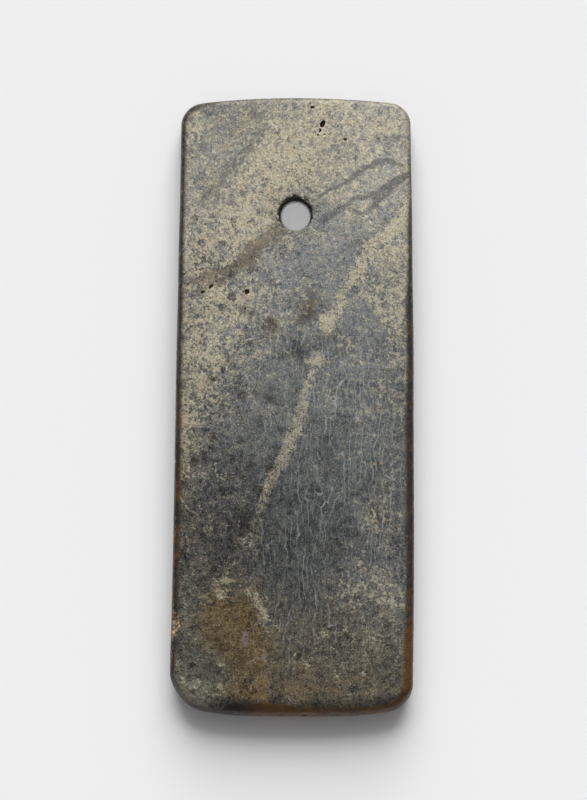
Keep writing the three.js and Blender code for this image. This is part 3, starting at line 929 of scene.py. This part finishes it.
def small_marks(stone, colour, cream):
    """Pale lines, the pale crack, bright sparks, dark specks and sooty smudges."""
    place, mid = stone.place, stone.mid
    pale_line = stone.shade(stone.tint("cool"), stone.level + 0.25 + mid * 0.08)
    colour = stone.blend(stone.lines * stone.streak * 0.75, colour, pale_line)
    colour = stone.blend(stone.ragged("pale_crack", -0.35, 0.25, fine=0.25) * 0.7, colour, cream)
    sparks = (stone.grain(place, 0.5, detail=1.0, shift=51.0) + mid * 0.5).above(0.6, 1.25)
    colour = stone.blend(sparks * (stone.field("cream") + 0.45) * 0.85, colour, stone.scaled(cream, 1.1))
    gathered = stone.grain(place, 0.75, detail=1.5, shift=31.0) + stone.grain(place, 2.4, shift=33.0) * 0.6
    specks = (gathered + stone.field("speck") * 0.6).above(0.75, 1.6)
    colour = stone.blend(specks * 0.7, colour, stone.tint("soot"))
    soot = stone.ragged("soot", 0.35, 0.72, fine=0.45, mid=0.45, clump=0.2)
    return stone.blend(soot * 0.62, colour, stone.tint("crack"))


def polished_rind_and_shade(stone, colour):
    """The dark band round the edge, partly the stone's polished rind and partly painted shade and dark
    reflection, amber in places with a painted glow at the cutting edge, and worn pale in others.
    """
    fine, mid, clump, broad = stone.noises
    amber = stone.ragged("amber", 0.1, 0.95, mid=0.15, clump=0.25, broad=0.4)
    polish = stone.blend(amber, stone.tint("rind"), stone.tint("amber"))
    # Painted glow: where the amber share passes 1 the band is made lighter, standing in for light shining
    # through the thin stone.
    painted_glow = 1.0 + (stone.field("amber") - 1.0).highest(0.0)
    polish = stone.scaled(polish, painted_glow + mid * 0.25 + clump * 0.25 + fine * 0.15)
    polish = stone.blend((broad + mid * 0.6).above(-0.2, 1.0) * 0.6, polish, stone.tint("rind"))
    worn = stone.ragged("worn", 0.45, 1.0, fine=0.35, mid=0.35)
    polish = stone.blend(worn * 0.7, polish, stone.shade(stone.tint("cream_tan"), stone.level * 0.6 + 0.28))
    # Mask of the dark edge band, partly the stone's rind and partly painted shade and dark reflection on the
    # rounded edge.
    rind = stone.ragged("rind", -0.9, 0.7, mid=0.22, fine=0.2, clump=0.2)
    return stone.blend(rind * 0.95, colour, polish), rind


def damage(stone, colour):
    """The broken chip, dirty pits, and the hole's wall and mouth darkened by painted shade with some dirt:
    the colour, and where they are.
    """
    fine, mid = stone.fine, stone.mid
    broken = stone.ragged("broken", 0.1, 0.5, fine=0.1)
    bright = (mid * 0.7 + fine * 0.6).above(-0.6, 0.8)
    colour = stone.blend(broken, colour, stone.blend(bright, stone.tint("amber"), stone.tint("fracture")))
    pit = stone.ragged("pit", 0.15, 0.7, fine=0.1)
    dirt = stone.blend(pit, stone.tint("amber"), stone.tint("pit"))
    colour = stone.blend(pit.above(0.0, 0.4), colour, dirt)
    crumb = stone.ragged("crumb", 0.1, 0.6, fine=0.2, mid=0.1)
    # The hole's wall darkened as painted shade, and the crumbled side of its mouth darkened with dirt.
    grime = stone.ragged("grime", -0.1, 0.7, mid=0.45, fine=0.35)
    colour = stone.blend((crumb * 0.9).highest(grime * 0.92), colour, stone.tint("pit"))
    return colour, broken, pit, grime


def stone_material(colours):
    """The whole stone: ground, stains, bands, flecks, small marks, the polished rind with its painted edge
    shade and glow, and damage with the painted shade in the hole.
    """
    stone = Stone(colours)
    colour, light = ground(stone)
    colour, olive = stains(stone, colour, light)
    colour, band, vein = bands(stone, colour)
    colour, cream, cover = flecks(stone, colour, olive, band, vein)
    colour = small_marks(stone, colour, cream)
    colour, rind = polished_rind_and_shade(stone, colour)
    colour, broken, pit, grime = damage(stone, colour)

    fine, mid = stone.fine, stone.mid
    roughness = 0.3 + cover * 0.14 + pit * 0.25 + broken * 0.3 + grime * 0.65 - rind * 0.08 + fine * 0.03
    height = cover * 0.5 + fine * 0.25 + mid * 0.2 - pit * 0.6 + broken * mid * 0.5
    height = height - stone.lines * stone.streak * 0.5
    bump = stone.node("ShaderNodeBump", {}, Strength=0.4, Distance=RELIEF * MM, Height=height)
    sockets = {"Base Color": colour, "Roughness": roughness, "IOR": 1.5, "Normal": bump}
    return stone.finished(stone.node("ShaderNodeBsdfPrincipled", {}, **sockets))


# ---------------------------------------------------------------- settings


def number_property(name, description, default, **more):
    """A plain number setting."""
    return FloatProperty(name=name, description=description, default=default, **more)


def length_property(name, description, default):
    """A length setting in metres from millimetres."""
    return number_property(name, description, default * MM, unit="LENGTH", precision=5)


def angle_property(name, description, degrees):
    """An angle setting from degrees."""
    return number_property(name, description, math.radians(degrees), subtype="ANGLE")


def colour_property(name, description, display):
    """A colour setting from a display colour."""
    more = {"subtype": "COLOR", "size": 3, "min": 0.0, "max": 1.0}
    return FloatVectorProperty(name=name, description=description, default=linear(*display), **more)


class AxeBladeSettings(bpy.types.PropertyGroup):
    """How finely the blade is meshed, and how worn it is."""

    rim_spacing: number_property("Rim spacing", "Distance between points round the edge, in mm", 0.5)
    front_spacing: number_property("Front spacing", "Distance between points on the front, in mm", 0.62)
    back_spacing: number_property("Back spacing", "Distance between points on the back, in mm", 2.4)
    hole_sides: IntProperty(name="Hole sides", description="Points round the lashing hole", default=168)
    hole_arris: number_property("Hole arris", "Worn radius at the hole's mouths, in mm", 0.3)
    wave_height: length_property("Wave height", "Height of the hand-ground waves on the front", 0.14)
    nick_depth: length_property("Nick depth", "Depth of the small nicks along the arrises", 0.9)


class AxeStoneColours(bpy.types.PropertyGroup):
    """The stone's colours. The tints are scaled by the stone's lightness."""

    cool: colour_property("Blue-grey", "Tint of the cool stone", (241, 248, 250))
    warm: colour_property("Grey-brown", "Tint of the warm stone", (255, 241, 210))
    cream_tan: colour_property("Cream, tan", "Tint of the duller flecks", (242, 227, 194))
    cream_pale: colour_property("Cream, pale", "Tint of the brighter flecks", (255, 247, 218))
    cream_moss: colour_property("Cream, mossy", "Tint of the greener flecks", (248, 246, 196))
    cream_pink: colour_property("Cream, pinkish", "Tint of the browner flecks", (246, 220, 192))
    earth: colour_property("Earth", "Tint of the brown-grey stone", (250, 234, 218))
    rust: colour_property("Rust", "Tint of the iron-stained flecks", (250, 196, 136))
    olive: colour_property("Olive", "Tint of the smooth stain near the cutting edge", (255, 214, 148))
    green: colour_property("Grey-green", "Tint of the ground near the left corner", (240, 250, 226))
    lilac: colour_property("Lilac", "Pale smooth patches", (122, 112, 112))
    band: colour_property("Grey band", "Smooth band below the hole", (120, 112, 97))
    vein: colour_property("Vein", "Dark veins on the right", (96, 95, 94))
    soot: colour_property("Soot", "Dark smudges and specks", (40, 36, 36))
    crack: colour_property("Crack", "Brown dirt in cracks and worn hollows", (56, 49, 43))
    # This colour also paints shade and dark reflection on the rounded edge.
    rind: colour_property("Rind", "Polished dark edge", (46, 40, 36))
    # This colour is also lightened at the cutting edge as a painted glow of light through the thin stone; it
    # is the brown of the chip and the shallow pits too.
    amber: colour_property("Amber", "Brown glow in the edge", (86, 57, 25))
    fracture: colour_property("Fracture", "Broken stone in the chip", (178, 152, 122))
    # This colour also paints the shade on the hole's wall.
    pit: colour_property("Pit", "Dirt in the pits", (48, 38, 25))


class AxeStageSettings(bpy.types.PropertyGroup):
    """The floor, the light and the view."""

    floor_colour: colour_property("Floor", "Pale floor", (246, 246, 247))
    floor_size: number_property("Floor size", "Side of the floor", 60.0, unit="LENGTH")
    key_strength: number_property("Key strength", "Strength of the soft key light", 4.85)
    key_height: angle_property("Key height", "Height of the key light above the floor", 23.5)
    key_bearing: angle_property("Key bearing", "Turn of the key light from the butt towards the right", 2.0)
    key_width: angle_property("Key width", "Apparent width of the key light", 44.0)
    key_glow: number_property("Key glow", "Brightness of the key light's soft reflection", 1.1)
    sky_low: number_property("Low fill", "Brightness of the surroundings near the floor", 0.09)
    sky_high: number_property("High fill", "Brightness of the surroundings overhead", 0.3)
    backdrop: number_property("Backdrop", "Brightness of the backdrop beyond the floor", 1.03)
    hole_fill: number_property("Hole fill", "Power of the narrow light straight above the hole", 3.9)
    lens: number_property("Lens", "Focal length of the camera in mm", 120.0)
    view_height: number_property("View height", "Height of the view", 0.2588, unit="LENGTH", precision=4)


# ---------------------------------------------------------------- operators


def linked(name, data):
    """A new object in the scene."""
    made = bpy.data.objects.new(name, data)
    bpy.context.scene.collection.objects.link(made)
    return made


def mesh_object(name, points, faces, fields):
    """A smooth mesh object in metres from points in millimetres, with its named fields."""
    mesh = bpy.data.meshes.new(name)
    mesh.from_pydata((points * MM).tolist(), [], [face for block in faces for face in block.tolist()])
    mesh.validate()
    mesh.shade_smooth()
    for key, values in fields.items():
        stored = mesh.attributes.new(key, "FLOAT", "POINT")
        stored.data.foreach_set("value", np.ascontiguousarray(values, dtype=np.float32))
    return linked(name, mesh)


class AXE_OT_blade(bpy.types.Operator):
    """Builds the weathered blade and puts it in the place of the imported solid"""

    bl_idname = "axe.blade"
    bl_label = "Blade"

    def execute(self, context):
        blade = BladeMesh(context.scene.axe_blade)
        weathered = weather(blade, context.scene.axe_blade)
        made = mesh_object("jadeite_blade", weathered, blade.faces, stone_fields(blade))
        made.data.materials.append(stone_material(context.scene.axe_stone))
        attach(made, "root")
        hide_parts(NODE)
        return {"FINISHED"}


VIEW_CENTRE = (0.5, 2.4)  # millimetres from the blade's middle
VIEW_LEVEL = 0.6  # share of the thickness at which the view height is measured
BEAM_HEIGHT = 0.5  # metres above the floor
BEAM_SOURCE = 0.0005  # metres
BEAM_SHARE = 0.95  # share of the hole's waist that the beam fills


def floor_material(colour):
    """Plain matt floor."""
    tree = Tree("floor")
    surface = tree.node("ShaderNodeBsdfPrincipled", {}, Roughness=0.9, **{"Base Color": (*colour, 1.0)})
    return tree.finished(surface)


def studio_world(stage, towards):
    """Soft surroundings, brighter overhead and towards the key light, behind a plain pale backdrop."""
    world = bpy.data.worlds.new("studio")
    world.use_nodes = True
    nodes, links = world.node_tree.nodes, world.node_tree.links
    nodes.clear()

    def ramp(value, low, high, start, end):
        made = nodes.new("ShaderNodeMapRange")
        made.interpolation_type = "SMOOTHSTEP"
        links.new(value, made.inputs["Value"])
        for key, number in zip(("From Min", "From Max", "To Min", "To Max"), (low, high, start, end)):
            made.inputs[key].default_value = number
        return made.outputs[0]

    direction = nodes.new("ShaderNodeTexCoord").outputs["Generated"]
    parts = nodes.new("ShaderNodeSeparateXYZ")
    links.new(direction, parts.inputs[0])
    facing = nodes.new("ShaderNodeVectorMath")
    facing.operation = "DOT_PRODUCT"
    links.new(direction, facing.inputs[0])
    facing.inputs[1].default_value = towards
    total = nodes.new("ShaderNodeMath")
    links.new(ramp(parts.outputs["Z"], -0.2, 1.0, stage.sky_low, stage.sky_high), total.inputs[0])
    links.new(ramp(facing.outputs["Value"], 0.6, 1.0, 0.0, stage.key_glow), total.inputs[1])
    lit = nodes.new("ShaderNodeBackground")
    links.new(total.outputs[0], lit.inputs["Strength"])
    backdrop = nodes.new("ShaderNodeBackground")
    backdrop.inputs["Strength"].default_value = stage.backdrop
    path = nodes.new("ShaderNodeLightPath")
    mix = nodes.new("ShaderNodeMixShader")
    links.new(path.outputs["Is Camera Ray"], mix.inputs[0])
    links.new(lit.outputs[0], mix.inputs[1])
    links.new(backdrop.outputs[0], mix.inputs[2])
    out = nodes.new("ShaderNodeOutputWorld")
    links.new(mix.outputs[0], out.inputs[0])
    return world


def key_light(stage):
    """The soft key light from beyond the butt. Gives the direction towards it."""
    key = bpy.data.lights.new("key", "SUN")
    key.energy, key.angle = stage.key_strength, stage.key_width
    lamp = linked("key", key)
    lamp.rotation_euler = (stage.key_height - math.pi / 2, 0.0, -stage.key_bearing)
    lamp.visible_glossy = False
    level = math.cos(stage.key_height)
    along = (math.sin(stage.key_bearing), math.cos(stage.key_bearing))
    return (level * along[0], level * along[1], math.sin(stage.key_height))


def hole_light(stage):
    """A narrow beam straight down the lashing hole, onto the floor below it."""
    beam = bpy.data.lights.new("hole_fill", "SPOT")
    beam.energy, beam.shadow_soft_size, beam.spot_blend = stage.hole_fill, BEAM_SOURCE, 0.05
    beam.spot_size = 2 * math.atan(BEAM_SHARE * HOLE_RADII["waist"] * MM / BEAM_HEIGHT)
    above_hole = linked("hole_fill", beam)
    above_hole.location = (HOLE[0] * MM, HOLE[1] * MM, BEAM_HEIGHT)
    above_hole.visible_camera = above_hole.visible_glossy = False


def overhead_camera(stage):
    """The camera that looks straight down on the blade."""
    camera = bpy.data.cameras.new("camera")
    camera.lens = stage.lens
    camera.clip_start, camera.clip_end = 0.01, 200.0
    distance = stage.view_height * stage.lens / camera.sensor_width
    eye = linked("camera", camera)
    eye.location = (VIEW_CENTRE[0] * MM, VIEW_CENTRE[1] * MM, THICKNESS * MM * VIEW_LEVEL + distance)
    return eye


class AXE_OT_stage(bpy.types.Operator):
    """Sets the pale floor, the soft light and the camera straight above the blade"""

    bl_idname = "axe.stage"
    bl_label = "Stage"

    def execute(self, context):
        stage = context.scene.axe_stage
        bpy.ops.mesh.primitive_plane_add(size=stage.floor_size, location=(0.0, 0.0, CAD_BOX[0][2]))
        floor = context.active_object
        floor.name = "floor"
        floor.data.materials.append(floor_material(stage.floor_colour))
        context.scene.world = studio_world(stage, key_light(stage))
        hole_light(stage)
        context.scene.camera = overhead_camera(stage)
        context.scene.view_settings.view_transform = "Standard"
        return {"FINISHED"}


class AXE_PT_panel(bpy.types.Panel):
    """Lists the steps that build the axe head"""

    bl_label = "Axe Head"
    bl_idname = "AXE_PT_panel"
    bl_space_type = "VIEW_3D"
    bl_region_type = "UI"
    bl_category = "Axe Head"

    def draw(self, context):
        for operator in (AXE_OT_blade, AXE_OT_stage):
            self.layout.operator(operator.bl_idname)
        for group in (context.scene.axe_blade, context.scene.axe_stone, context.scene.axe_stage):
            box = self.layout.box()
            for name in group.__annotations__:
                box.prop(group, name)


CLASSES = (AxeBladeSettings, AxeStoneColours, AxeStageSettings, AXE_OT_blade, AXE_OT_stage, AXE_PT_panel)


def register():
    for cls in CLASSES:
        bpy.utils.register_class(cls)
    bpy.types.Scene.axe_blade = PointerProperty(type=AxeBladeSettings)
    bpy.types.Scene.axe_stone = PointerProperty(type=AxeStoneColours)
    bpy.types.Scene.axe_stage = PointerProperty(type=AxeStageSettings)


def unregister():
    for name in ("axe_blade", "axe_stone", "axe_stage"):
        delattr(bpy.types.Scene, name)
    for cls in reversed(CLASSES):
        bpy.utils.unregister_class(cls)


def main():
    register()
    bpy.ops.axe.blade()
    bpy.ops.axe.stage()


if __name__ == "__main__":
    main()
